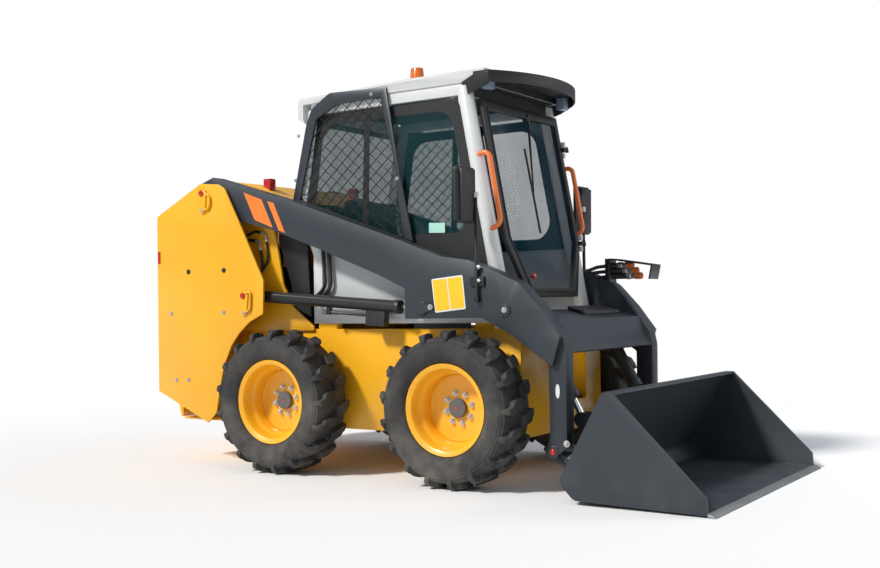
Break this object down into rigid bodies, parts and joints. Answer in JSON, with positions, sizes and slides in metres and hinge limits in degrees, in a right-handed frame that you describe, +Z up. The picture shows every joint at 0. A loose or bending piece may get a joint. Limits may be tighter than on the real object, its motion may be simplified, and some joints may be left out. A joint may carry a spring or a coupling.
{
  "type": "skid steer loader",
  "caption": "Compact wheeled loader with enclosed cab, side lift arms on rear towers, quick coupler and bucket; arms, bucket, doors, hood and wheels move.",
  "frame": {"origin": "on the ground below the middle of the overall box", "axes": "+X towards the front (bucket), +Y to the left of the machine, +Z up"},
  "size_m": [3.472, 1.622, 2.1655],
  "materials": {
    "yellow": "gloss",
    "charcoal": "satin",
    "offwhite": "satin",
    "grey_panel": "matte",
    "black_plastic": "matte",
    "tinted_glass": "gloss",
    "tyre": "matte",
    "orange": "gloss",
    "chrome": "polished",
    "black_metal": "satin",
    "cast": "rough",
    "amber": "gloss",
    "steel": "worn",
    "rubber": "matte",
    "lamp": "gloss",
    "seat_vinyl": "matte",
    "red": "gloss"
  },
  "bodies": {
    "chassis": {"axle_housings": "cast", "beacon": "amber", "cab_floor": "black_metal", "cab_frame": "offwhite", "cab_roof": "offwhite", "cab_windows": "tinted_glass", "control_boxes": "black_plastic", "engine_block": "cast", "grab_handles": "orange", "guard_wires_falling": "black_metal", "guard_wires_rising": "black_metal", "hoses": "rubber", "main_frame": "yellow", "radiator": "black_metal", "rear_bumper": "yellow", "rear_towers": "yellow", "seat_back": "seat_vinyl", "seat_base": "black_plastic", "seat_cushion": "seat_vinyl", "side_covers": "black_metal", "side_guards": "charcoal", "side_panels": "grey_panel", "tower_inner_plates": "yellow", "visor": "black_plastic", "work_lamps": "lamp"},
    "lift_arms": {"lift_arms": "charcoal", "step": "black_metal", "mirrors": "black_plastic", "aux_couplers": "steel"},
    "bucket": {"bucket": "charcoal", "coupler": "charcoal", "cutting_edge": "steel"},
    "cab_door": {"door_frame": "black_plastic", "door_glass": "tinted_glass"},
    "rear_door": {"rear_door": "yellow"},
    "hood": {"hood": "yellow", "rear_lamps": "red"},
    "lift_barrel_right": {"lift_barrel_right": "black_metal"},
    "lift_rod_right": {"lift_rod_right": "chrome"},
    "tilt_barrel_right": {"tilt_barrel_right": "black_metal"},
    "tilt_rod_right": {"tilt_rod_right": "chrome"},
    "wheel_front_right": {"tyre_front_right": "tyre", "rim_front_right": "yellow"},
    "wheel_rear_right": {"tyre_rear_right": "tyre", "rim_rear_right": "yellow"},
    "lift_barrel_left": {"lift_barrel_left": "black_metal"},
    "lift_rod_left": {"lift_rod_left": "chrome"},
    "tilt_barrel_left": {"tilt_barrel_left": "black_metal"},
    "tilt_rod_left": {"tilt_rod_left": "chrome"},
    "wheel_front_left": {"tyre_front_left": "tyre", "rim_front_left": "yellow"},
    "wheel_rear_left": {"tyre_rear_left": "tyre", "rim_rear_left": "yellow"}
  },
  "joints": [
    {"name": "lift", "type": "hinge", "parent": "chassis", "child": "lift_arms", "pos_m": [-1.354, 0, 1.557], "axis": [0, -1, 0], "range_deg": [0, 65]},
    {"name": "tilt", "type": "hinge", "parent": "lift_arms", "child": "bucket", "pos_m": [0.863, 0, 0.193], "axis": [0, -1, 0], "range_deg": [-100, 25]},
    {"name": "lift_barrel_right_swing", "type": "hinge", "parent": "chassis", "child": "lift_barrel_right", "pos_m": [-1.041, -0.54, 0.961], "axis": [0, -1, 0], "range_deg": [-2, 70]},
    {"name": "lift_rod_right_slide", "type": "slide", "parent": "lift_barrel_right", "child": "lift_rod_right", "axis": [0.9974, 0, -0.0723], "range_m": [-0.01, 0.75]},
    {"name": "tilt_barrel_right_swing", "type": "hinge", "parent": "lift_arms", "child": "tilt_barrel_right", "pos_m": [0.69, -0.38, 0.79], "axis": [0, -1, 0], "range_deg": [-10, 10]},
    {"name": "tilt_rod_right_slide", "type": "slide", "parent": "tilt_barrel_right", "child": "tilt_rod_right", "axis": [0.4764, 0, -0.8792], "range_m": [-0.07, 0.25]},
    {"name": "wheel_front_right_spin", "type": "hinge", "parent": "chassis", "child": "wheel_front_right", "pos_m": [0.373, -0.643, 0.3865], "axis": [0, 1, 0], "continuous": true},
    {"name": "wheel_rear_right_spin", "type": "hinge", "parent": "chassis", "child": "wheel_rear_right", "pos_m": [-0.742, -0.643, 0.3865], "axis": [0, 1, 0], "continuous": true},
    {"name": "lift_barrel_left_swing", "type": "hinge", "parent": "chassis", "child": "lift_barrel_left", "pos_m": [-1.041, 0.54, 0.961], "axis": [0, -1, 0], "range_deg": [-2, 70]},
    {"name": "lift_rod_left_slide", "type": "slide", "parent": "lift_barrel_left", "child": "lift_rod_left", "axis": [0.9974, 0, -0.0723], "range_m": [-0.01, 0.75]},
    {"name": "tilt_barrel_left_swing", "type": "hinge", "parent": "lift_arms", "child": "tilt_barrel_left", "pos_m": [0.69, 0.38, 0.79], "axis": [0, -1, 0], "range_deg": [-10, 10]},
    {"name": "tilt_rod_left_slide", "type": "slide", "parent": "tilt_barrel_left", "child": "tilt_rod_left", "axis": [0.4764, 0, -0.8792], "range_m": [-0.07, 0.25]},
    {"name": "wheel_front_left_spin", "type": "hinge", "parent": "chassis", "child": "wheel_front_left", "pos_m": [0.373, 0.643, 0.3865], "axis": [0, 1, 0], "continuous": true},
    {"name": "wheel_rear_left_spin", "type": "hinge", "parent": "chassis", "child": "wheel_rear_left", "pos_m": [-0.742, 0.643, 0.3865], "axis": [0, 1, 0], "continuous": true},
    {"name": "cab_door_swing", "type": "hinge", "parent": "chassis", "child": "cab_door", "pos_m": [0.4622, 0.435, 1.772], "axis": [-0.1824, 0, 0.9832], "range_deg": [0, 90]},
    {"name": "rear_door_swing", "type": "hinge", "parent": "chassis", "child": "rear_door", "pos_m": [-1.726, 0.446, 0.9], "axis": [0, 0, -1], "range_deg": [0, 100]},
    {"name": "hood_lift", "type": "hinge", "parent": "chassis", "child": "hood", "pos_m": [-0.87, 0, 1.49], "axis": [0, 1, 0], "range_deg": [0, 55]}
  ],
  "couplings": [
    {"joint": "lift_barrel_right_swing", "follows": "lift", "ratio": 0.9963},
    {"joint": "lift_rod_right_slide", "follows": "lift", "m_per_rad": 0.6377},
    {"joint": "tilt_barrel_right_swing", "follows": "tilt", "ratio": 0.02},
    {"joint": "tilt_rod_right_slide", "follows": "tilt", "m_per_rad": -0.13},
    {"joint": "lift_barrel_left_swing", "follows": "lift", "ratio": 0.9963},
    {"joint": "lift_rod_left_slide", "follows": "lift", "m_per_rad": 0.6377},
    {"joint": "tilt_barrel_left_swing", "follows": "tilt", "ratio": 0.02},
    {"joint": "tilt_rod_left_slide", "follows": "tilt", "m_per_rad": -0.13}
  ]
}
